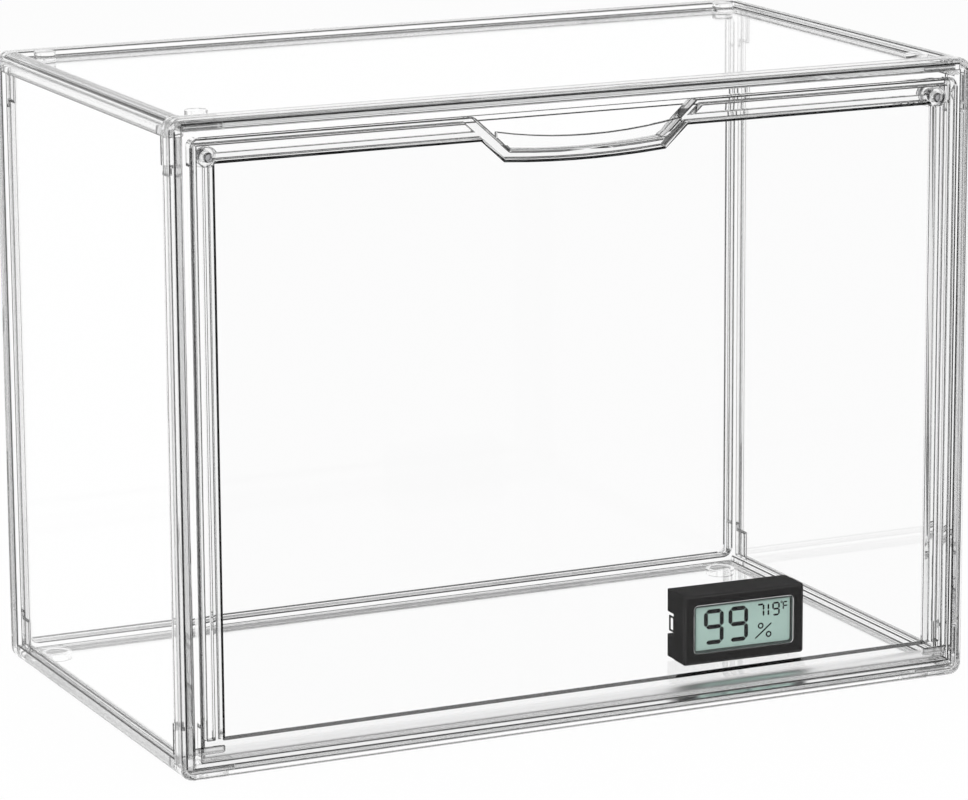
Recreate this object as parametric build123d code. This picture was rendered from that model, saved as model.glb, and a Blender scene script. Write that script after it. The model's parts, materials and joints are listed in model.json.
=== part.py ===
from build123d import *
import os

# Clear display case with a drop-front door and a small thermo-hygrometer inside.
# Millimetres. X runs to the right along the front, Y to the back, Z up; the origin is
# the middle of the footprint on the table.

# Case envelope
case_width = 310.0
case_depth = 180.0
case_height = 231.0
corner_round = 4.5          # outer rounding of the four long edges
edge_round = 3.0            # rounding of the front and back end faces

# Sections shared by all clear mouldings
sheet = 2.0                 # flat wall
rim_wall = 2.2              # wall on either side of a slot
end_wall = 2.6              # front wall of the frame, and the back wall
channel_depth = 6.5         # how deep the walls enter the frame and the back
fit_gap = 0.2               # clearance between mouldings that slide together
opening_round = 3.0         # upper corners of the door opening
slot_round = 1.0            # inner corner of the slots

# Door stop and door
stop_lip = 3.2              # reach of the stop inside the frame's opening
stop_wall = 1.8
seat_gap = 0.4              # closed door to its stop
door_gap = 0.4              # door to the frame's opening
door_set_back = 0.6         # door's front behind the frame's front
door_rim = 7.8              # width of the raised rim on the door's back
door_foot = 6.3             # height of the rolled lower edge, below the flat field
field_bevel = 1.15          # bevel round the flat field, across
field_bevel_depth = 1.2
groove_wall = 2.2           # walls of the groove along that rim

# Finger pull in the middle of the door's top edge
notch_half_top = 43.0
notch_half_bottom = 29.5
notch_depth = 12.2
notch_sag = 1.3             # bow of the notch's lower edge
notch_rim = 3.5             # rim that follows the notch
pull_rise = 3.6             # lip above the notch's lower edge, at the middle
pull_bow = 3.4              # extra rise of the lip's edge at its ends
pull_half = 36.0
pull_reach = 2.2            # how far the lip stands forward
pull_wall = 1.6
pull_bend = 3.0             # height over which the lip bends forward
pull_root = 0.8             # how far the lip is let into the door

# Door hinge and catches
pin_radius = 1.2
pin_seat = 9.0              # pin length inside the door
pin_fit = 0.03              # pin in the door
pin_running = 0.05          # pin in the frame
catch_inset = 6.6           # magnet axis from the door's top and side edges
catch_boss = 3.3            # outer radius of the door's magnet boss
catch_wall = 1.2            # boss in front of the magnet
catch_eye = 1.2             # radius of the hole in front of the magnet
magnet_radius = 1.75
magnet_fit = 0.05
strike_radius = 2.0
strike_thickness = 2.0
strike_cup = 4.2            # outer radius of the cup that holds the strike

# Corner keys
key_leg = 17.0              # leg along the frame, both ways
key_plate = 6.5             # reach of the key behind the frame
key_plate_height = 10.0

# Stacking studs on the lid and their sockets under the base
stud_radius = 4.0
stud_inset = 15.0           # stud axis from the case's outside
stud_rise = 0.5             # above the lid's rims
socket_fit = 0.25
socket_wall = 1.4

# Thermo-hygrometer
meter_width = 49.6
meter_height = 26.8
meter_depth = 15.2
meter_from_right = 70.6     # middle of the meter from the case's outside
meter_from_front = 48.0
meter_turn = -2.0           # degrees about the vertical
meter_round = 1.2
meter_bevel = 0.8
meter_wall = 1.6
meter_face = 2.2            # front wall around the window
meter_front_depth = 9.0
meter_rear_step = 0.4       # how much smaller the rear half is, on each side
meter_rear_wall = 1.4
meter_seam = 0.1
view_width = 39.4
view_height = 16.8
view_round = 0.8
lens_border = 0.9
lens_thickness = 1.0
lens_fit = 0.1
display_border = 2.2
display_thickness = 1.6
board_border = 0.6          # gap between the board and the case wall
board_thickness = 1.0
board_y = -1.1              # board's front face from the middle of the meter
strip_height = 2.4
strip_inset = 2.0
cell_radius = 5.8
cell_thickness = 5.4
cell_offset = 6.3
cell_stand_off = 0.5        # cell in front of the board
contact_width = 8.0
contact_thickness = 0.3
sensor_size = 4.0
sensor_thickness = 1.6
sensor_x = 17.0
sensor_z = 21.0
vent_count = 4
vent_pitch = 2.2
vent_height = 1.0
vent_length = 4.6
clip_gap_height = 8.6
clip_gap_depth = 4.2        # how far the gap beside a clip is cut into the rear half
clip_root = 0.9             # wall in front of that gap
clip_lining = 1.0           # wall inside that gap
clip_height = 6.0
clip_length = 4.2
clip_thickness = 0.6
clip_frame = 0.7            # border of the clip's window
hatch_width = 27.6
hatch_height = 13.2
hatch_fit = 0.2
hatch_ridge = 0.5
hatch_ridge_count = 3
hatch_ridge_pitch = 2.4

# Derived places
slot = sheet + 2 * fit_gap
rim = 2 * rim_wall + slot
ring_depth = end_wall + channel_depth
half_width = case_width / 2
front = -case_depth / 2
frame_back = front + ring_depth
rail_front = frame_back + fit_gap
tongue_front = front + end_wall + fit_gap
skin = rim_wall + fit_gap
mid_height = case_height / 2

opening_half = half_width - rim
opening_top = case_height - rim
stop_front = frame_back - stop_wall

door_front = front + door_set_back
door_back = stop_front - seat_gap
door_half = opening_half - door_gap
door_top = opening_top - door_gap
door_bottom = rim + door_gap
hinge_radius = (door_back - door_front) / 2
hinge_y = (door_back + door_front) / 2
hinge_z = door_bottom + hinge_radius
plate_back = door_front + sheet
notch_bottom = door_top - notch_depth
catch_x = door_half - catch_inset
catch_z = door_top - catch_inset

stud_x = half_width - stud_inset
stud_y = case_depth / 2 - stud_inset
floor_top = skin + sheet

meter_front = -meter_depth / 2
meter_split = meter_front + meter_front_depth
meter_middle = meter_height / 2
meter_x = half_width - meter_from_right
meter_y = front + meter_from_front
meter_place = Location((meter_x, meter_y, floor_top + fit_gap), (0, 0, meter_turn))
rear_half = meter_width / 2 - meter_rear_step
rear_front = meter_split + meter_seam
display_front = meter_front + meter_face + lens_fit
board_back = board_y + board_thickness
cell_front = board_back + cell_stand_off
hatch_front = meter_depth / 2 - meter_rear_wall
clip_front = rear_front + clip_root
clip_gap_in = rear_half - clip_gap_depth


def block(x0, x1, y0, y1, z0, z1):
    size = Box(x1 - x0, y1 - y0, z1 - z0)
    return Pos((x0 + x1) / 2, (y0 + y1) / 2, (z0 + z1) / 2) * size


def upright(face, y0, y1):
    return Pos(0, y1, 0) * extrude(Plane.XZ * face, amount=y1 - y0)


def envelope(inset, radius, y0, y1):
    face = RectangleRounded(case_width - 2 * inset, case_height - 2 * inset, radius)
    return upright(Pos(0, mid_height) * face, y0, y1)


def rod_y(radius, x, z, y0, y1):
    return upright(Pos(x, z) * Circle(radius), y0, y1)


def rod_x(radius, y, z, x0, x1):
    return Pos((x0 + x1) / 2, y, z) * Rot(0, 90, 0) * Cylinder(radius, x1 - x0)


def both_sides(shape):
    return shape + mirror(shape, about=Plane.YZ)


def upside_down(shape):
    return mirror(shape, about=Plane.XY.offset(mid_height))


# Ring with a slot all round its inner face; the walls of the case enter the slot
def end_ring():
    outer = envelope(0, corner_round, front, frame_back)
    outer = fillet(outer.faces().sort_by(Axis.Y)[0].edges(), edge_round)
    slot_outer = envelope(rim_wall, corner_round - rim_wall, front + end_wall, frame_back)
    slot_inner = envelope(rim_wall + slot, slot_round, front + end_wall, frame_back)
    return outer - (slot_outer - slot_inner)


def back_panel():
    hollow = envelope(rim, opening_round, front + end_wall, frame_back)
    return mirror(end_ring() - hollow, about=Plane.XZ)


# The stop runs up both sides and along the top; the door's lower edge turns free of it
def door_stop():
    lip_face = Rectangle(2 * opening_half + rim_wall, opening_top - rim + rim_wall)
    lip = upright(Pos(0, mid_height) * lip_face, stop_front, frame_back)
    clear_half = opening_half - stop_lip
    clear = block(-clear_half, clear_half, stop_front, frame_back, 0, opening_top - stop_lip)
    cup_back = frame_back + strike_thickness
    cups = both_sides(rod_y(strike_cup, catch_x, catch_z, stop_front, cup_back))
    pocket = rod_y(strike_radius + magnet_fit, catch_x, catch_z, frame_back, cup_back)
    return lip - clear + cups - both_sides(pocket)


def front_frame():
    rounded = envelope(rim, opening_round, front, frame_back)
    opening = rounded + block(-opening_half, opening_half, front, frame_back, rim, mid_height)
    hole = rod_x(pin_radius + pin_running, hinge_y, hinge_z, opening_half, opening_half + rim_wall)
    foot = block(-half_width, half_width, stop_front, frame_back, 0, rim)
    lip = door_stop() - foot
    return end_ring() - opening - both_sides(hole) + lip


# Rail along a long edge: outer wall, slot for the side wall, inner wall
def side_rail():
    inner = half_width - rim
    low = case_height - rim
    outer = block(inner, half_width, rail_front, -rail_front, low, case_height)
    corner = outer.edges().filter_by(Axis.Y).sort_by(lambda e: e.center().X + e.center().Z)[-1]
    slot_in = half_width - rim_wall - slot
    groove = block(slot_in, half_width - rim_wall, rail_front, -rail_front, low, case_height - rim_wall)
    return fillet(corner, corner_round) - groove


# Flat wall of lid or base with a tongue at either end, set back for the corner keys
def flat_wall():
    high = case_height - skin
    wall = block(-opening_half, opening_half, rail_front, -rail_front, high - sheet, high)
    tongue_half = half_width - skin - key_leg - fit_gap
    tongue = block(-tongue_half, tongue_half, tongue_front, -tongue_front, high - sheet, high)
    return wall + tongue


def tray():
    return flat_wall() + both_sides(side_rail())


def top_panel():
    low = case_height - skin
    stud = Cylinder(stud_radius, skin + stud_rise, align=(Align.CENTER, Align.CENTER, Align.MIN))
    places = GridLocations(2 * stud_x, 2 * stud_y, 2, 2)
    return tray() + [Pos(0, 0, low) * place * stud for place in places]


def base_panel():
    inner = stud_radius + socket_fit
    ring = Circle(inner + socket_wall) - Circle(inner)
    socket = extrude(ring, amount=skin)
    places = GridLocations(2 * stud_x, 2 * stud_y, 2, 2)
    return upside_down(tray()) + [place * socket for place in places]


# Side wall with its corners cut away for the corner keys
def right_panel():
    outer = half_width - skin
    wall = block(outer - sheet, outer, tongue_front, -tongue_front, skin, case_height - skin)
    leg_low = case_height - skin - key_leg - fit_gap
    leg = block(outer - sheet, outer, front, frame_back + fit_gap, leg_low, case_height)
    plate_low = opening_top - fit_gap - key_plate_height - fit_gap
    plate_back_y = frame_back + key_plate + fit_gap
    plate = block(outer - sheet, outer, front, plate_back_y, plate_low, case_height)
    upper = leg + plate
    front_cuts = upper + upside_down(upper)
    return wall - front_cuts - mirror(front_cuts, about=Plane.XZ)


# Corner key: an angle in the frame's slot with a plate that reaches behind the frame
def corner_key():
    outer = half_width - skin
    high = case_height - skin
    angle = block(outer - key_leg, outer, tongue_front, frame_back, high - key_leg, high)
    inside = block(outer - key_leg, outer - sheet, front, frame_back, high - key_leg, high - sheet)
    corner = angle.edges().filter_by(Axis.Y).sort_by(lambda e: e.center().X + e.center().Z)[-1]
    angle = fillet(corner, corner_round - skin) - inside
    plate_top = opening_top - fit_gap
    plate_low = plate_top - key_plate_height
    plate = block(outer - sheet, outer, tongue_front, frame_back + key_plate, plate_low, plate_top)
    return angle + plate


# Outline of the finger notch, optionally grown by a border
def notch_face(grow):
    lean = (notch_half_top - notch_half_bottom) / notch_depth
    slant = (1 + lean ** 2) ** 0.5
    low = notch_bottom - grow
    half_low = notch_half_bottom + grow * (slant - lean)
    high = door_top + door_gap
    half_high = half_low + (high - low) * lean
    right = Line((half_low, low), (half_high, high))
    top = Line((half_high, high), (-half_high, high))
    left = Line((-half_high, high), (-half_low, low))
    bottom = ThreePointArc((-half_low, low), (0, low - notch_sag), (half_low, low))
    return make_face(right + top + left + bottom)


def door_outline(inset, low):
    high = door_top - inset
    face = Rectangle(2 * (door_half - inset), high - low)
    return Pos(0, (high + low) / 2) * face


# Lip of the finger pull: rises from the notch's lower edge, bends forward, ends in a bowed edge
def finger_pull():
    lip_front = door_front - pull_reach
    bend_high = notch_bottom + pull_bend
    outline = Polyline(
        (door_front, notch_bottom - notch_sag - pull_root),
        (lip_front, bend_high),
        (lip_front, door_top),
        (lip_front + pull_wall, door_top),
        (lip_front + pull_wall, bend_high),
        (door_front + pull_wall, notch_bottom - notch_sag - pull_root),
        close=True,
    )
    strip = extrude(Plane.YZ * make_face(outline), amount=notch_half_top, both=True)
    middle = notch_bottom + pull_rise
    end = middle + pull_bow
    edge = ThreePointArc((-pull_half, end), (0, middle), (pull_half, end))
    lower = Polyline((pull_half, end), (pull_half, notch_bottom - 2 * notch_rim),
                     (-pull_half, notch_bottom - 2 * notch_rim), (-pull_half, end))
    below = upright(make_face(edge + lower), lip_front, plate_back)
    return strip & below & upright(notch_face(pull_root), lip_front, plate_back)


def door_groove():
    inner = door_rim - groove_wall
    low = door_bottom + door_foot
    ring = door_outline(groove_wall, low) - door_outline(inner, low)
    groove = upright(ring - notch_face(notch_rim), plate_back, door_back)
    return groove - both_sides(rod_y(catch_boss, catch_x, catch_z, plate_back, door_back))


# Pocket behind the flat field; its floor falls away along the border
def door_field():
    face = door_outline(door_rim, door_bottom + door_foot) - notch_face(notch_rim)
    raised = upright(face, door_front, plate_back)
    back_face = raised.faces().sort_by(Axis.Y)[-1]
    raised = chamfer(back_face.edges(), field_bevel, field_bevel_depth, reference=back_face)
    return upright(face, plate_back - field_bevel_depth, door_back) - raised


def door_panel():
    slab = upright(door_outline(0, hinge_z), door_front, door_back)
    slab = fillet(slab.edges().filter_by(Axis.Y).sort_by(Axis.Z)[-2:], opening_round - door_gap)
    roll = rod_x(hinge_radius, hinge_y, hinge_z, -door_half, door_half)
    boss = rod_y(catch_boss, catch_x, catch_z, door_front, door_back)
    door = slab + roll - door_field()
    door = door - upright(notch_face(0), door_front, door_back) - door_groove()
    door = door + finger_pull() + both_sides(boss)
    magnet_front = door_front + catch_wall
    pocket = rod_y(magnet_radius + magnet_fit, catch_x, catch_z, magnet_front, door_back)
    eye = rod_y(catch_eye, catch_x, catch_z, door_front, magnet_front)
    bore = rod_x(pin_radius + pin_fit, hinge_y, hinge_z, door_half - pin_seat, door_half)
    return door - both_sides(pocket + eye) - both_sides(bore)


def hinge_pin():
    tip = opening_half + rim_wall - fit_gap
    return rod_x(pin_radius, hinge_y, hinge_z, door_half - pin_seat + pin_fit, tip)


def door_magnet():
    return rod_y(magnet_radius, catch_x, catch_z, door_front + catch_wall + magnet_fit, door_back)


def catch_strike():
    cup_back = frame_back + strike_thickness
    return rod_y(strike_radius, catch_x, catch_z, frame_back + magnet_fit, cup_back)


# The meter is drawn standing at the origin and set in its place at the end
def meter_plate(width, height, y0, y1):
    return upright(Pos(0, meter_middle) * Rectangle(width, height), y0, y1)


# Plate with the outline of the view, grown by a border
def view_plate(border, y0, y1):
    face = RectangleRounded(view_width + 2 * border, view_height + 2 * border, view_round + border)
    return upright(Pos(0, meter_middle) * face, y0, y1)


def meter_front_case():
    face = Pos(0, meter_middle) * RectangleRounded(meter_width, meter_height, meter_round)
    outer = upright(face, meter_front, meter_split)
    outer = chamfer(outer.faces().sort_by(Axis.Y)[0].edges(), meter_bevel)
    inner_width = meter_width - 2 * meter_wall
    inner_height = meter_height - 2 * meter_wall
    hollow = meter_plate(inner_width, inner_height, meter_front + meter_face, meter_split)
    view = view_plate(0, meter_front, meter_front + meter_face)
    seat = view_plate(lens_border, meter_front, meter_front + lens_thickness + lens_fit)
    return outer - hollow - view - seat


def meter_window():
    return view_plate(lens_border - lens_fit, meter_front + lens_fit, meter_front + lens_thickness)


def meter_display():
    width = view_width + 2 * display_border
    height = view_height + 2 * display_border
    return meter_plate(width, height, display_front, display_front + display_thickness)


def meter_board():
    width = meter_width - 2 * (meter_wall + board_border)
    height = meter_height - 2 * (meter_wall + board_border)
    return meter_plate(width, height, board_y, board_back)


# Rubber strip that joins the display's lower edge to the board
def meter_strip():
    half = view_width / 2
    low = meter_middle - view_height / 2 - display_border + strip_inset / 2
    back = board_y - meter_seam
    return block(-half, half, display_front + display_thickness + meter_seam, back, low, low + strip_height)


def meter_cells():
    back = cell_front + cell_thickness
    return [rod_y(cell_radius, x, meter_middle, cell_front, back) for x in (-cell_offset, cell_offset)]


def meter_contacts():
    low = meter_middle - contact_width / 2
    high = meter_middle + contact_width / 2
    half = contact_width / 2
    front_y = board_back + meter_seam / 2
    back_y = front_y + contact_thickness
    return [block(x - half, x + half, front_y, back_y, low, high) for x in (-cell_offset, cell_offset)]


def meter_sensor():
    half = sensor_size / 2
    front_y = board_back + meter_seam / 2
    back_y = front_y + sensor_thickness
    return block(sensor_x - half, sensor_x + half, front_y, back_y, sensor_z - half, sensor_z + half)


def meter_rear_case():
    height = meter_height - 2 * meter_rear_step
    outer = meter_plate(2 * rear_half, height, rear_front, meter_depth / 2)
    hollow = meter_plate(2 * (rear_half - meter_wall), height - 2 * meter_wall, rear_front, hatch_front)
    lining_half = clip_gap_height / 2 + clip_lining
    lining = block(clip_gap_in - clip_lining, rear_half, rear_front, meter_depth / 2,
                   meter_middle - lining_half, meter_middle + lining_half)
    gap = block(clip_gap_in, rear_half, clip_front, meter_depth / 2,
                meter_middle - clip_gap_height / 2, meter_middle + clip_gap_height / 2)
    hatch_hole = Rectangle(hatch_width + 2 * hatch_fit, hatch_height + 2 * hatch_fit)
    hatch = upright(Pos(0, meter_middle) * hatch_hole, hatch_front, meter_depth / 2)
    vents = GridLocations(1, vent_pitch, 1, vent_count)
    vent_faces = [Pos(sensor_x, meter_middle) * v * Rectangle(vent_length, vent_height) for v in vents]
    slots = [upright(face, hatch_front, meter_depth / 2) for face in vent_faces]
    return outer - (hollow - both_sides(lining)) - hatch - both_sides(gap) - slots


def meter_clip():
    outer = rear_half - fit_gap
    start = clip_front + fit_gap
    end = start + clip_length
    low = meter_middle - clip_height / 2
    high = meter_middle + clip_height / 2
    plate = block(outer - clip_thickness, outer, start, end, low, high)
    window = block(outer - clip_thickness, outer, start + clip_frame, end - clip_frame,
                   low + clip_frame, high - clip_frame)
    return plate - window


def meter_hatch():
    plate = meter_plate(hatch_width, hatch_height, hatch_front, meter_depth / 2)
    ridges = GridLocations(1, hatch_ridge_pitch, 1, hatch_ridge_count)
    faces = [Pos(0, meter_middle) * r * Rectangle(hatch_width / 3, hatch_ridge) for r in ridges]
    return plate - [upright(face, meter_depth / 2 - hatch_ridge, meter_depth / 2) for face in faces]


def as_node(shape):
    solids = shape if isinstance(shape, list) else shape.solids()
    return Compound(children=list(solids)) if len(solids) > 1 else solids[0]


def corner_nodes():
    key = corner_key()
    nodes = {}
    for depth_name, depth_key in (("front", key), ("back", mirror(key, about=Plane.XZ))):
        for height_name, tall_key in (("top", depth_key), ("bottom", upside_down(depth_key))):
            nodes[f"key_{depth_name}_{height_name}_right"] = tall_key
            nodes[f"key_{depth_name}_{height_name}_left"] = mirror(tall_key, about=Plane.YZ)
    return nodes


def paired_nodes():
    shapes = {
        "panel": right_panel(),
        "hinge_pin": hinge_pin(),
        "door_magnet": door_magnet(),
        "catch_strike": catch_strike(),
    }
    nodes = {}
    for name, shape in shapes.items():
        nodes[f"{name}_right"] = shape
        nodes[f"{name}_left"] = mirror(shape, about=Plane.YZ)
    return nodes


def meter_nodes():
    clip = meter_clip()
    shapes = {
        "meter_front_case": meter_front_case(),
        "meter_rear_case": meter_rear_case(),
        "meter_window": meter_window(),
        "meter_display": meter_display(),
        "meter_board": meter_board(),
        "meter_strip": meter_strip(),
        "meter_cells": as_node(meter_cells()),
        "meter_contacts": as_node(meter_contacts()),
        "meter_sensor": meter_sensor(),
        "meter_clip_right": clip,
        "meter_clip_left": mirror(clip, about=Plane.YZ),
        "meter_hatch": meter_hatch(),
    }
    return {name: meter_place * shape for name, shape in shapes.items()}


nodes = {
    "front_frame": front_frame(),
    "back_panel": back_panel(),
    "top_panel": top_panel(),
    "base_panel": base_panel(),
    "door_panel": door_panel(),
}
nodes.update(paired_nodes())
nodes.update(corner_nodes())
nodes.update(meter_nodes())

os.makedirs("parts", exist_ok=True)
for name, shape in nodes.items():
    export_step(as_node(shape), f"parts/{name}.step")
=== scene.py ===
import json
import math
import bmesh
import bpy
from mathutils import Matrix, Vector

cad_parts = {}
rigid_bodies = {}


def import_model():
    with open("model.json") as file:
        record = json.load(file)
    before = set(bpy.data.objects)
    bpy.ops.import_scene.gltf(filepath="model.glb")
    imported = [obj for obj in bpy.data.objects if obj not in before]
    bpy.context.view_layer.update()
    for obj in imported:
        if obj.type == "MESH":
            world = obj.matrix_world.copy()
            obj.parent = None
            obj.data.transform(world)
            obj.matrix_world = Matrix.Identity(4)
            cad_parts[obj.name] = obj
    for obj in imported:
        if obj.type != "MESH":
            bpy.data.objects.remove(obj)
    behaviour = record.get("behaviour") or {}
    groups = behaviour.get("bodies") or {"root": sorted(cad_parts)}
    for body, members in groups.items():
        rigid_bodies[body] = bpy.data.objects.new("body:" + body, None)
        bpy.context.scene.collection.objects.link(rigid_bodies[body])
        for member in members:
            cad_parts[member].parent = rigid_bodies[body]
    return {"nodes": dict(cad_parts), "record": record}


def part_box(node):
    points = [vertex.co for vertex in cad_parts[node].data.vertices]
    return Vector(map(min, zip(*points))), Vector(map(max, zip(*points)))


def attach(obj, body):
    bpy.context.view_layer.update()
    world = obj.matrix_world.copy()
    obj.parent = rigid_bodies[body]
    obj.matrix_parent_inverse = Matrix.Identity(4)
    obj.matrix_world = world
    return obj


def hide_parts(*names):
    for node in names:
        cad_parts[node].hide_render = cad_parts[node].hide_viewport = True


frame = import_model()
nodes = frame["nodes"]
bodies = frame["record"]["behaviour"]["bodies"]
slots = {row["node"]: row["material_slot"] for row in frame["record"]["subparts"]}
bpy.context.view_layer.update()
scene = bpy.context.scene
millimetre = 0.001
print("frame loaded:", len(nodes), "nodes")


def bodyOf(node):
    return next(name for name, members in bodies.items() if node in members)


def newObject(name, data):
    obj = bpy.data.objects.new(name, data)
    scene.collection.objects.link(obj)
    return obj


def setInputs(node, values):
    for name, value in values.items():
        node.inputs[name].default_value = value


def joinNodes(tree, source, target):
    tree.links.new(source, target)


def newMaterial(name, values):
    mat = bpy.data.materials.new(name)
    mat.use_nodes = True
    shader = mat.node_tree.nodes["Principled BSDF"]
    setInputs(shader, values)
    return mat, mat.node_tree, shader


def attributeValue(tree, name):
    node = tree.nodes.new("ShaderNodeAttribute")
    node.attribute_name = name
    return node.outputs["Fac"]


def colourMix(tree, factor, first, second):
    node = tree.nodes.new("ShaderNodeMix")
    node.data_type = "RGBA"
    node.inputs[6].default_value = first  # 6 and 7 are the colour sockets, output 2 is their mix
    node.inputs[7].default_value = second
    joinNodes(tree, factor, node.inputs[0])
    return node.outputs[2]


def surfaceNoise(tree, scale, detail):
    place = tree.nodes.new("ShaderNodeTexCoord")
    noise = tree.nodes.new("ShaderNodeTexNoise")
    setInputs(noise, {"Scale": scale, "Detail": detail})
    joinNodes(tree, place.outputs["Object"], noise.inputs["Vector"])
    return noise.outputs["Fac"]


# A socket takes a number, or another node's output
def feedSocket(tree, socket, value):
    if isinstance(value, float):
        socket.default_value = value
    else:
        joinNodes(tree, value, socket)


def mathNode(tree, operation, first, second=0.0):
    node = tree.nodes.new("ShaderNodeMath")
    node.operation = operation
    feedSocket(tree, node.inputs[0], first)
    feedSocket(tree, node.inputs[1], second)
    return node.outputs[0]


def valueMix(tree, factor, first, second):
    node = tree.nodes.new("ShaderNodeMix")
    node.data_type = "FLOAT"
    joinNodes(tree, factor, node.inputs[0])
    feedSocket(tree, node.inputs[2], first)
    feedSocket(tree, node.inputs[3], second)
    return node.outputs[0]


white = (1, 1, 1, 1)
clearLook = {"ior": 1.5, "mirror": (0.2, 0.2, 0.2, 1), "absorbs": (0.39, 0.4, 0.4, 1)}


# Clear moulded plastic: rounded edges and slopes, marked by a face attribute, are tinted dark as painted
# shade for the dark lines that moulded edges show; frost marks dull faces
def newClear(name, density, edgeShade):
    mat, tree, shader = newMaterial(name, {
        "Base Color": white,
        "Roughness": 0.0,
        "IOR": clearLook["ior"],
        "Specular Tint": clearLook["mirror"],
        "Transmission Weight": 1.0,
    })
    shaded = (edgeShade, edgeShade, edgeShade, 1)
    tint = colourMix(tree, attributeValue(tree, "paintedEdgeShading"), white, shaded)
    joinNodes(tree, tint, shader.inputs["Base Color"])
    joinNodes(tree, attributeValue(tree, "frost"), shader.inputs["Roughness"])
    haze = tree.nodes.new("ShaderNodeVolumeAbsorption")
    setInputs(haze, {"Color": clearLook["absorbs"], "Density": density})
    joinNodes(tree, haze.outputs["Volume"], tree.nodes["Material Output"].inputs["Volume"])
    return mat


mouldGrain = {"scale": 2600.0, "detail": 2.0, "strength": 0.25, "depth": 0.0001}


# Matte moulded plastic: a fine grain, and rounded edges painted lighter, a painted highlight that shows
# their shape
def newMatte(name, colour, paintedEdgeHighlight, roughness):
    mat, tree, shader = newMaterial(name, {
        "Base Color": colour, "Roughness": roughness, "Specular IOR Level": 0.05})
    highlightedEdges = colourMix(tree, attributeValue(tree, "paintedEdgeShading"), colour, paintedEdgeHighlight)
    joinNodes(tree, highlightedEdges, shader.inputs["Base Color"])
    grain = surfaceNoise(tree, mouldGrain["scale"], mouldGrain["detail"])
    bump = tree.nodes.new("ShaderNodeBump")
    setInputs(bump, {"Strength": mouldGrain["strength"], "Distance": mouldGrain["depth"]})
    joinNodes(tree, grain, bump.inputs["Height"])
    joinNodes(tree, bump.outputs["Normal"], shader.inputs["Normal"])
    return mat


mottle = {"scale": 1100.0, "detail": 3.0, "low": 0.3, "high": 0.7, "shade": 0.08, "gloss": 0.25}


# Plated, printed and cut surfaces: a faint mottle in colour and gloss
def newPlain(name, colour, roughness, metallic=0.0, specular=0.5):
    mat, tree, shader = newMaterial(name, {
        "Base Color": colour, "Roughness": roughness, "Metallic": metallic, "Specular IOR Level": specular})
    noise = surfaceNoise(tree, mottle["scale"], mottle["detail"])
    darker, lighter = ([v * (1 + side * mottle["shade"]) for v in colour[:3]] + [1] for side in (-1, 1))
    joinNodes(tree, colourMix(tree, noise, darker, lighter), shader.inputs["Base Color"])
    gloss = tree.nodes.new("ShaderNodeMapRange")
    setInputs(gloss, {
        "From Min": mottle["low"],
        "From Max": mottle["high"],
        "To Min": roughness * (1 - mottle["gloss"]),
        "To Max": roughness * (1 + mottle["gloss"]),
    })
    joinNodes(tree, noise, gloss.inputs["Value"])
    joinNodes(tree, gloss.outputs["Result"], shader.inputs["Roughness"])
    return mat


clearMat = newClear("clearPlastic", density=1.0, edgeShade=0.03)
doorMat = newClear("doorPlastic", density=22.0, edgeShade=0.03)
keyMat = newClear("keyPlastic", density=2.0, edgeShade=0.06)
lensMat = newMaterial("lensPlastic", {
    "Base Color": white, "Roughness": 0.0, "IOR": 1.45, "Specular Tint": (0.1, 0.1, 0.1, 1),
    "Transmission Weight": 1.0})[0]
finish = {
    "magnet_nickel": newPlain("magnetNickel", (0.42, 0.42, 0.43, 1), 0.28, metallic=1.0),
    "strike_steel": newPlain("strikeSteel", (0.46, 0.46, 0.47, 1), 0.34, metallic=1.0),
    # The meter's black has its rounded edges painted lighter, a painted highlight
    "meter_black": newMatte(
        "meterBlack", (0.006, 0.0055, 0.0055, 1), paintedEdgeHighlight=(0.035, 0.034, 0.034, 1), roughness=0.6),
    "meter_lcd": newPlain("displayGlass", (0.45, 0.62, 0.56, 1), 0.4),
    "board_green": newPlain("boardGreen", (0.03, 0.16, 0.07, 1), 0.45),
    "strip_rubber": newPlain("stripRubber", (0.55, 0.36, 0.42, 1), 0.7),
    "cell_steel": newPlain("cellSteel", (0.6, 0.6, 0.58, 1), 0.3, metallic=1.0),
    "contact_brass": newPlain("contactBrass", (0.75, 0.6, 0.3, 1), 0.35, metallic=1.0),
    "sensor_white": newPlain("sensorWhite", (0.8, 0.8, 0.76, 1), 0.6),
}
inkMat = newPlain("displayInk", (0.003, 0.004, 0.004, 1), 0.6, specular=0.0)
printMat = newPlain("lensPrint", (0.04, 0.062, 0.055, 1), 0.5)
print("materials ready")


def plainMesh(obj):
    depsgraph = bpy.context.evaluated_depsgraph_get()
    mesh = bpy.data.meshes.new_from_object(
        obj.evaluated_get(depsgraph), preserve_all_data_layers=True, depsgraph=depsgraph)
    obj.modifiers.clear()
    obj.data = mesh
    return mesh


def isSlope(normal, limit):
    return max(abs(value) for value in normal) < limit


# Edges to be rounded; the borders of a slope that stays crisp, and edges that are too short, stay sharp
def markSharpEdges(bm, edges):
    weight = bm.edges.layers.float.new("bevel_weight_edge")
    for edge in bm.edges:
        if len(edge.link_faces) != 2 or edge.calc_face_angle() < math.radians(edges["foldAngle"]):
            continue
        onSlope = any(abs(f.normal.y) > edges["slopeFacing"] and isSlope(f.normal, edges["slopeLimit"])
                      for f in edge.link_faces)
        crisp = (edges["keepSlopes"] and onSlope) or edge.calc_length() < edges["shortest"]
        edge.smooth = not crisp
        edge[weight] = 0.0 if crisp else 1.0
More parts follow.
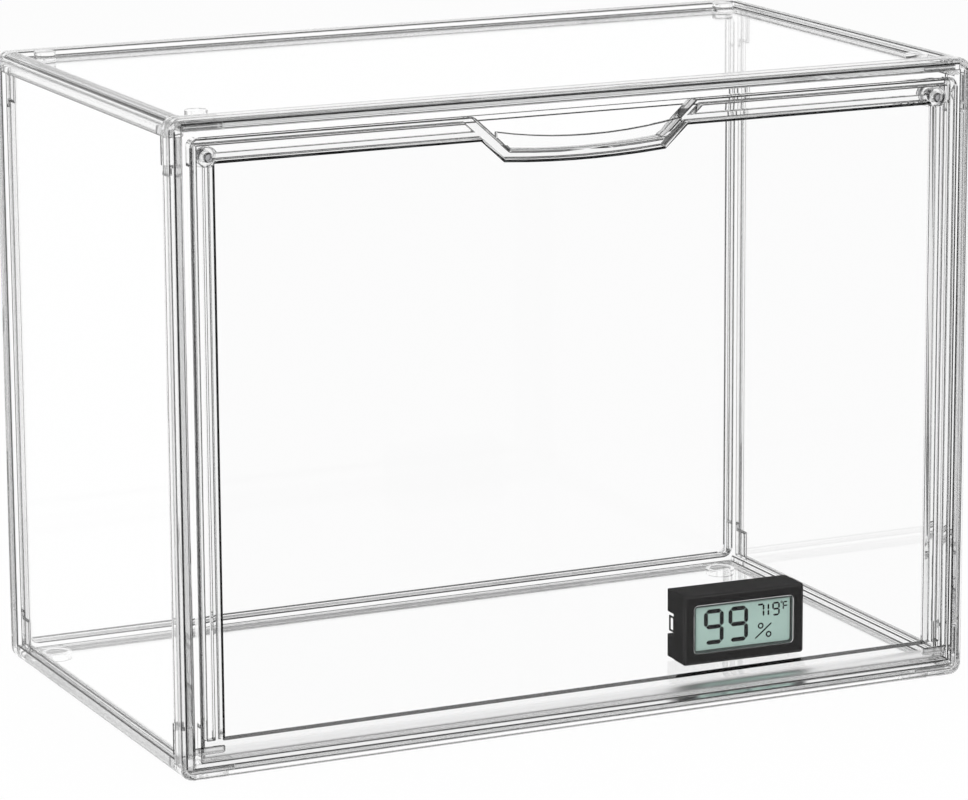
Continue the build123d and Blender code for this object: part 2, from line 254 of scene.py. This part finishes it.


# How strongly a face is painted, dark as painted shade on clear plastic and light as a painted highlight on
# the meter's black: 1 on long rounded edges and on the low line, less on small rounded edges and other
# slopes
def tintFaces(mesh, edges):
    rounded = [0] * len(mesh.polygons)
    mesh.polygons.foreach_get("material_index", rounded)
    low, high = edges["lowLine"]
    tints = []
    for face, mark in zip(mesh.polygons, rounded):
        spots = [mesh.vertices[i].co for i in face.vertices]
        reach = max((spots[i] - spots[i - 1]).length for i in range(len(spots)))
        if mark:
            tints.append(1.0 if reach > edges["longEdge"] else edges["smallTint"])
        elif not isSlope(face.normal, edges["slopeLimit"]):
            tints.append(0.0)
        else:
            tints.append(1.0 if low < face.center.z < high else edges["slopeTint"])
    mesh.attributes.new("paintedEdgeShading", "FLOAT", "FACE").data.foreach_set("value", tints)
    mesh.polygons.foreach_set("material_index", [0] * len(tints))


# The front's lower rail, whose hidden faces are dull from the mould
rail = {"top": 0.0138, "barTop": 0.0069, "front": -0.0893, "back": -0.075,
        "facesBack": 0.05, "facesUp": 0.9, "uprightDull": 0.4, "levelDull": 0.2}


# frost: how dull a face is
def frostFaces(mesh):
    dull = []
    for face in mesh.polygons:
        spot, normal = face.center, face.normal
        inRail = spot.z < rail["top"] and rail["front"] < spot.y < rail["back"]
        if inRail and normal.y > rail["facesBack"]:
            dull.append(rail["uprightDull"])
        elif inRail and spot.z < rail["barTop"] and abs(normal.z) > rail["facesUp"]:
            dull.append(rail["levelDull"])
        else:
            dull.append(0.0)
    mesh.attributes.new("frost", "FLOAT", "FACE").data.foreach_set("value", dull)


merging = {"distance": 2e-6, "flatAngle": 0.5}


def mergedMesh(node, edges):
    mesh = nodes[node].data.copy()
    mesh.name = "looks_" + node
    bm = bmesh.new()
    bm.from_mesh(mesh)
    bmesh.ops.remove_doubles(bm, verts=bm.verts, dist=merging["distance"])
    flat = math.radians(merging["flatAngle"])
    bmesh.ops.dissolve_limit(bm, angle_limit=flat, verts=bm.verts, edges=bm.edges)
    bm.normal_update()
    markSharpEdges(bm, edges)
    bm.to_mesh(mesh)
    bm.free()
    return mesh


# Rounded edges get the second material, which tells them from the flat faces
def roundEdges(obj, edges):
    obj.data.shade_smooth()
    bevel = obj.modifiers.new("softEdges", "BEVEL")
    bevel.width = edges["bevel"]
    bevel.segments = edges["segments"]
    bevel.limit_method = "WEIGHT"
    bevel.use_clamp_overlap = False
    bevel.loop_slide = False
    bevel.material = 1
    normals = obj.modifiers.new("flatFaces", "WEIGHTED_NORMAL")
    normals.mode = "FACE_AREA"
    normals.weight = 100
    normals.keep_sharp = True
    return plainMesh(obj)


# Merged copy of a CAD node with rounded edges
def mergedCopy(node, mat, edges):
    mesh = mergedMesh(node, edges)
    mesh.materials.clear()
    mesh.materials.append(mat)
    mesh.materials.append(mat)
    obj = newObject("looks_" + node, mesh)
    mesh = roundEdges(obj, edges)
    tintFaces(mesh, edges)
    frostFaces(mesh)
    mesh.materials.pop()
    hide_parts(node)
    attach(obj, bodyOf(node))
    return obj


# How edges are rounded, and how dark they and the slopes are painted: painted shade on clear plastic, a
# painted highlight on the meter
caseEdges = {
    "bevel": 0.00042, "segments": 3, "foldAngle": 35.0, "shortest": 0.0,
    "longEdge": 0.0015, "smallTint": 0.25,  # rounded faces that are no longer than this get the small tint
    "slopeFacing": 0.5, "slopeLimit": 0.77, "slopeTint": 0.2, "keepSlopes": False,
    "lowLine": (0.0, 0.0),  # heights between which a slope is as dark as a long edge
}
trayEdges = dict(caseEdges, shortest=0.02)
frameEdges = dict(caseEdges, shortest=0.0002)
# The door's slopes are painted darker, and its bottom slope between the low-line heights fully dark, as
# painted shade for the dark lines seen there
doorEdges = dict(caseEdges, slopeLimit=0.85, slopeTint=0.3, keepSlopes=True, lowLine=(0.0125, 0.0155))
keyEdges = dict(caseEdges, bevel=0.0003, segments=2)
edgesOf = {"top_panel": trayEdges, "base_panel": trayEdges, "front_frame": frameEdges}
clearNodes = [n for n in nodes if slots[n] == "clear_panel" and n != "door_panel"]
keyNodes = [n for n in nodes if slots[n] == "clear_key"]
clearPieces = [mergedCopy(n, clearMat, edgesOf.get(n, caseEdges)) for n in clearNodes]
clearPieces += [mergedCopy("door_panel", doorMat, doorEdges)]
clearPieces += [mergedCopy(n, keyMat, keyEdges) for n in keyNodes]
for piece in clearPieces:
    piece.visible_shadow = False  # clear plastic lets the lamps through
print("clear mouldings:", len(clearPieces))

meterEdges = dict(caseEdges, bevel=0.00022, segments=2)
lensEdges = dict(caseEdges, bevel=0.00015, segments=2)
springEdges = dict(caseEdges, bevel=0.00005, segments=1)
for name in nodes:
    if slots[name] in finish:
        mergedCopy(name, finish[slots[name]], springEdges if name == "meter_contacts" else meterEdges)
lens = mergedCopy("meter_window", lensMat, lensEdges)
lens.visible_shadow = False
print("meter and metal pieces dressed")


def middleOf(node):
    low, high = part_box(node)
    return (low + high) / 2


# The meter stands turned a little; its display is the datum for the figures and the lens print
display = {"turn": -2.0, "front": 0.0008, "inkLift": 0.00003, "lensBack": 0.0021}
displayTurn = Matrix.Rotation(math.radians(display["turn"]), 4, "Z")
displayPlace = Matrix.Translation(middleOf("meter_display")) @ displayTurn


def meterPiece(name, mesh):
    mesh.name = name
    obj = newObject(name, mesh)
    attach(obj, "meter")
    return obj


# Figures of the display: lines across and up the face in millimetres, each with its stroke and pointed ends
figures = {
    "big": {"width": 8.1, "height": 13.5, "stroke": 1.62, "middle": 0.1, "at": (-11.6, -1.5)},
    "small": {"width": 3.2, "height": 5.3, "stroke": 0.72, "middle": 4.15, "at": (7.7, 9.7, 14.1)},
    "letter": {"width": 2.3, "height": 3.4, "stroke": 0.55, "middle": 5.0, "at": 18.0},
    "slash": {"from": (5.5, -6.5), "to": (12.3, -1.0), "stroke": 0.58},
    # Each ring by its place across and up, radius and stroke
    "rings": ((7.8, -1.75, 0.92, 0.58), (11.1, -5.3, 0.92, 0.58), (16.4, 6.5, 0.34, 0.28)),
    "ringSteps": 20,
    "sides": 8,
    "depth": 0.03,
    "cornerGap": 0.07,
    "tip": 0.02,
}
# Each bar by its two ends, in half widths across and quarter heights up from a figure's middle
bars = {
    "top": ((-1, 2), (1, 2)), "middle": ((-1, 0), (1, 0)), "bottom": ((-1, -2), (1, -2)),
    "upLeft": ((-1, 0), (-1, 2)), "upRight": ((1, 0), (1, 2)),
    "downLeft": ((-1, -2), (-1, 0)), "downRight": ((1, -2), (1, 0)),
}
nine = ("top", "middle", "bottom", "upLeft", "upRight", "downRight")
seven = ("top", "upRight", "downRight")
one = ("upRight", "downRight")
letterF = ("top", "middle", "upLeft", "downLeft")


# A figure's bars, each with a small gap left at both ends
def digitLines(size, across, parts):
    halfWide = (size["width"] - size["stroke"]) / 2
    quarterTall = (size["height"] - size["stroke"]) / 4
    gap = size["stroke"] * figures["cornerGap"]
    rows = []
    for part in parts:
        (x0, z0), (x1, z1) = bars[part]
        start = Vector((across + x0 * halfWide, size["middle"] + z0 * quarterTall))
        end = Vector((across + x1 * halfWide, size["middle"] + z1 * quarterTall))
        along = (end - start).normalized() * gap
        rows.append((start + along, end - along, size["stroke"]))
    return rows


def strokeTree():
    tree = bpy.data.node_groups.new("displayStrokes", "GeometryNodeTree")
    tree.interface.new_socket("Lines", in_out="INPUT", socket_type="NodeSocketGeometry")
    tree.interface.new_socket("Depth", in_out="INPUT", socket_type="NodeSocketFloat")
    tree.interface.new_socket("Ink", in_out="INPUT", socket_type="NodeSocketMaterial")
    tree.interface.new_socket("Figures", in_out="OUTPUT", socket_type="NodeSocketGeometry")
    given = tree.nodes.new("NodeGroupInput")
    result = tree.nodes.new("NodeGroupOutput")
    curve = tree.nodes.new("GeometryNodeMeshToCurve")
    stroke = tree.nodes.new("GeometryNodeInputNamedAttribute")
    setInputs(stroke, {"Name": "stroke"})
    section = tree.nodes.new("GeometryNodeCurvePrimitiveCircle")
    setInputs(section, {"Resolution": figures["sides"], "Radius": 0.5})  # one wide, scaled by the stroke
    sweep = tree.nodes.new("GeometryNodeCurveToMesh")
    setInputs(sweep, {"Fill Caps": True})
    flat = tree.nodes.new("ShaderNodeCombineXYZ")
    setInputs(flat, {"X": 1.0, "Z": 1.0})
    press = tree.nodes.new("GeometryNodeTransform")
    realize = tree.nodes.new("GeometryNodeRealizeInstances")
    paint = tree.nodes.new("GeometryNodeSetMaterial")
    joinNodes(tree, given.outputs["Lines"], curve.inputs["Mesh"])
    joinNodes(tree, curve.outputs["Curve"], sweep.inputs["Curve"])
    joinNodes(tree, section.outputs["Curve"], sweep.inputs["Profile Curve"])
    joinNodes(tree, stroke.outputs["Attribute"], sweep.inputs["Scale"])
    joinNodes(tree, given.outputs["Depth"], flat.inputs["Y"])
    joinNodes(tree, sweep.outputs["Mesh"], press.inputs["Geometry"])
    joinNodes(tree, flat.outputs["Vector"], press.inputs["Scale"])
    joinNodes(tree, press.outputs["Geometry"], realize.inputs["Geometry"])
    joinNodes(tree, realize.outputs["Geometry"], paint.inputs["Geometry"])
    joinNodes(tree, given.outputs["Ink"], paint.inputs["Material"])
    joinNodes(tree, paint.outputs["Geometry"], result.inputs["Figures"])
    return tree


def barRows():
    rows = []
    for across in figures["big"]["at"]:
        rows += digitLines(figures["big"], across, nine)
    for across, parts in zip(figures["small"]["at"], (seven, one, nine)):
        rows += digitLines(figures["small"], across, parts)
    rows += digitLines(figures["letter"], figures["letter"]["at"], letterF)
    slash = figures["slash"]
    rows.append((Vector(slash["from"]), Vector(slash["to"]), slash["stroke"]))
    return rows


def figureLines():
    points = []
    edges = []
    strokes = []
    for start, end, stroke in barRows():
        bevel = (end - start).normalized() * stroke / 2
        edges += [(len(points) + i, len(points) + i + 1) for i in range(3)]
        points += [(spot.x, 0, spot.y) for spot in (start, start + bevel, end - bevel, end)]
        strokes += [figures["tip"], stroke, stroke, figures["tip"]]
    steps = figures["ringSteps"]
    for x, z, radius, stroke in figures["rings"]:
        first = len(points)
        for i in range(steps):
            angle = 2 * math.pi * i / steps
            points.append((x + radius * math.cos(angle), 0, z + radius * math.sin(angle)))
            strokes.append(stroke)
            edges.append((first + i, first + (i + 1) % steps))
    return points, edges, strokes


def displayFigures():
    points, edges, strokes = figureLines()
    mesh = bpy.data.meshes.new("figureLines")
    mesh.from_pydata(points, edges, [])
    mesh.attributes.new("stroke", "FLOAT", "POINT").data.foreach_set("value", strokes)
    obj = newObject("figureLines", mesh)
    tree = strokeTree()
    ids = {item.name: item.identifier for item in tree.interface.items_tree if item.in_out == "INPUT"}
    swept = obj.modifiers.new("strokes", "NODES")
    swept.node_group = tree
    swept[ids["Depth"]] = figures["depth"]
    swept[ids["Ink"]] = inkMat
    made = plainMesh(obj)
    made.transform(Matrix.Scale(millimetre, 4))
    made.transform(displayPlace @ Matrix.Translation((0, -display["front"] - display["inkLift"], 0)))
    bpy.data.objects.remove(obj)
    return meterPiece("display_figures", made)


figurePiece = displayFigures()
print("display figures:", len(figurePiece.data.polygons), "faces")

# Printed border behind the lens
border = {"width": 0.0409, "height": 0.0183, "band": 0.00078, "corner": 0.0016, "cornerSteps": 6,
          "thickness": 0.00005}


def roundedLoop(width, height, corner, y):
    steps = border["cornerSteps"]
    points = []
    for turn in range(4):
        sx = 1 if turn in (0, 3) else -1
        sz = 1 if turn in (0, 1) else -1
        for i in range(steps + 1):
            angle = math.pi / 2 * (turn + i / steps)
            points.append((sx * (width / 2 - corner) + corner * math.cos(angle), y,
                           sz * (height / 2 - corner) + corner * math.sin(angle)))
    return points


def lensPrint():
    band = border["band"]
    half = border["thickness"] / 2
    outer = (border["width"], border["height"], border["corner"])
    inner = (border["width"] - 2 * band, border["height"] - 2 * band, border["corner"] - band)
    loops = [roundedLoop(*outer, -half), roundedLoop(*inner, -half),
             roundedLoop(*inner, half), roundedLoop(*outer, half)]
    count = len(loops[0])
    points = [p for loop in loops for p in loop]
    faces = []
    for ring in range(len(loops)):
        a, b = ring * count, (ring + 1) % len(loops) * count
        faces += [(a + i, a + (i + 1) % count, b + (i + 1) % count, b + i) for i in range(count)]
    mesh = bpy.data.meshes.new("lensPrint")
    mesh.from_pydata(points, [], faces)
    bm = bmesh.new()
    bm.from_mesh(mesh)
    bmesh.ops.recalc_face_normals(bm, faces=bm.faces)
    bm.to_mesh(mesh)
    bm.free()
    mesh.transform(displayPlace @ Matrix.Translation((0, -display["lensBack"] + half, 0)))
    mesh.materials.append(printMat)
    return meterPiece("lens_print", mesh)


lensPrint()
for piece in bpy.data.objects:
    if piece.name.startswith(("looks_meter", "display_", "lens_")):
        piece.visible_glossy = False  # no mirror image of the meter in the clear floor
print("lens print set")

# Light runs far inside the clear walls, so it may bounce often there
bounces = {"inPlastic": 96, "diffuse": 4, "seeThrough": 16}
scene.view_settings.view_transform = "Standard"
scene.cycles.max_bounces = bounces["inPlastic"]
scene.cycles.transmission_bounces = bounces["inPlastic"]
scene.cycles.glossy_bounces = bounces["inPlastic"]
scene.cycles.diffuse_bounces = bounces["diffuse"]
scene.cycles.transparent_max_bounces = bounces["seeThrough"]

shot = {
    "place": (-0.7094, -1.5272, 0.4811),
    "yaw": 24.96,
    "pitch": 12.69,
    "roll": 0.34,
    "lens": 173.56,
    "sensor": 36.0,
    "near": 0.01,
    "far": 50.0,
}


def shotTurn():
    yaw, pitch, roll = (math.radians(shot[k]) for k in ("yaw", "pitch", "roll"))
    forward = Vector((math.sin(yaw) * math.cos(pitch), math.cos(yaw) * math.cos(pitch), -math.sin(pitch)))
    level = Vector((math.cos(yaw), -math.sin(yaw), 0))
    plumb = forward.cross(level)
    right = level * math.cos(roll) + plumb * math.sin(roll)
    up = level * math.sin(roll) - plumb * math.cos(roll)
    return Matrix((right, up, -forward)).transposed().to_4x4()


camData = bpy.data.cameras.new("mainCamera")
camData.lens = shot["lens"]
camData.sensor_width = shot["sensor"]
camData.sensor_fit = "HORIZONTAL"
camData.clip_start = shot["near"]
camData.clip_end = shot["far"]
camObj = newObject("mainCamera", camData)
camObj.matrix_world = Matrix.Translation(shot["place"]) @ shotTurn()
scene.camera = camObj
print("camera set")

# Even light for matte surfaces; clear and metal ones see white, with dark cards overhead and at the sides
studio = {"fill": 0.48, "card": 0.02, "skyLow": 0.35, "skyHigh": 0.7, "sideLow": 0.75, "sideHigh": 0.95}


def smoothStep(tree, source, low, high):
    node = tree.nodes.new("ShaderNodeMapRange")
    node.interpolation_type = "SMOOTHSTEP"
    setInputs(node, {"From Min": low, "From Max": high})
    joinNodes(tree, source, node.inputs["Value"])
    return node.outputs["Result"]


def glassyRay(tree, path):
    return mathNode(tree, "MAXIMUM", path.outputs["Is Glossy Ray"], path.outputs["Is Transmission Ray"])


def studioWorld():
    world = bpy.data.worlds.new("studio")
    world.use_nodes = True
    tree = world.node_tree
    tree.nodes.clear()
    coord = tree.nodes.new("ShaderNodeTexCoord")
    split = tree.nodes.new("ShaderNodeSeparateXYZ")
    joinNodes(tree, coord.outputs["Generated"], split.inputs["Vector"])
    overhead = smoothStep(tree, split.outputs["Z"], studio["skyLow"], studio["skyHigh"])
    sideways = mathNode(tree, "ABSOLUTE", split.outputs["X"])
    aside = smoothStep(tree, sideways, studio["sideLow"], studio["sideHigh"])
    shade = tree.nodes.new("ShaderNodeMapRange")
    setInputs(shade, {"To Min": 1.0, "To Max": studio["card"]})
    joinNodes(tree, mathNode(tree, "MAXIMUM", overhead, aside), shade.inputs["Value"])
    path = tree.nodes.new("ShaderNodeLightPath")
    light = valueMix(tree, glassyRay(tree, path), studio["fill"], shade.outputs["Result"])
    seen = valueMix(tree, path.outputs["Is Camera Ray"], light, 1.0)
    back = tree.nodes.new("ShaderNodeBackground")
    setInputs(back, {"Color": white})
    joinNodes(tree, seen, back.inputs["Strength"])
    output = tree.nodes.new("ShaderNodeOutputWorld")
    joinNodes(tree, back.outputs["Background"], output.inputs["Surface"])
    return world


scene.world = studioWorld()

softboxes = {
    "softboxTop": {"place": (-0.4, -0.5, 2.4), "aim": (0, 0, 0.1), "size": 2.2, "power": 30},
    "softboxFront": {"place": (-1.6, -2.4, 1.2), "aim": (0, 0, 0.1), "size": 1.6, "power": 60},
}


def softbox(name, box):
    data = bpy.data.lights.new(name, "AREA")
    data.shape = "SQUARE"
    data.size = box["size"]
    data.energy = box["power"]
    data.cycles.use_multiple_importance_sampling = False
    lamp = newObject(name, data)
    lamp.location = box["place"]
    lamp.rotation_euler = (Vector(box["aim"]) - Vector(box["place"])).to_track_quat("-Z", "Y").to_euler()
    lamp.visible_glossy = False  # no bright squares in clear or metal surfaces
    lamp.visible_transmission = False


for name, box in softboxes.items():
    softbox(name, box)

ground = {"half": 12.0, "drop": 0.0002, "colour": (0.9, 0.9, 0.9, 1), "roughness": 0.6, "seenWhite": 0.94}


# White in reflections and through clear plastic, nearly white to the camera, where a faint shadow shows
def floorMaterial():
    mat, tree, shader = newMaterial("paleFloor", {
        "Base Color": ground["colour"], "Roughness": ground["roughness"], "Specular IOR Level": 0.0})
    path = tree.nodes.new("ShaderNodeLightPath")
    openSeen = mathNode(tree, "MULTIPLY", path.outputs["Is Camera Ray"], ground["seenWhite"])
    share = mathNode(tree, "MAXIMUM", glassyRay(tree, path), openSeen)
    glow = tree.nodes.new("ShaderNodeEmission")
    blend = tree.nodes.new("ShaderNodeMixShader")
    joinNodes(tree, share, blend.inputs["Fac"])
    joinNodes(tree, shader.outputs[0], blend.inputs[1])
    joinNodes(tree, glow.outputs[0], blend.inputs[2])
    joinNodes(tree, blend.outputs[0], tree.nodes["Material Output"].inputs["Surface"])
    return mat


half = ground["half"]
corners = [(-half, -half, 0), (half, -half, 0), (half, half, 0), (-half, half, 0)]
floorMesh = bpy.data.meshes.new("floor")
floorMesh.from_pydata(corners, [], [(0, 1, 2, 3)])
floorMesh.materials.append(floorMaterial())
floor = newObject("floor", floorMesh)
floor.location.z = -ground["drop"]
print("stage set")
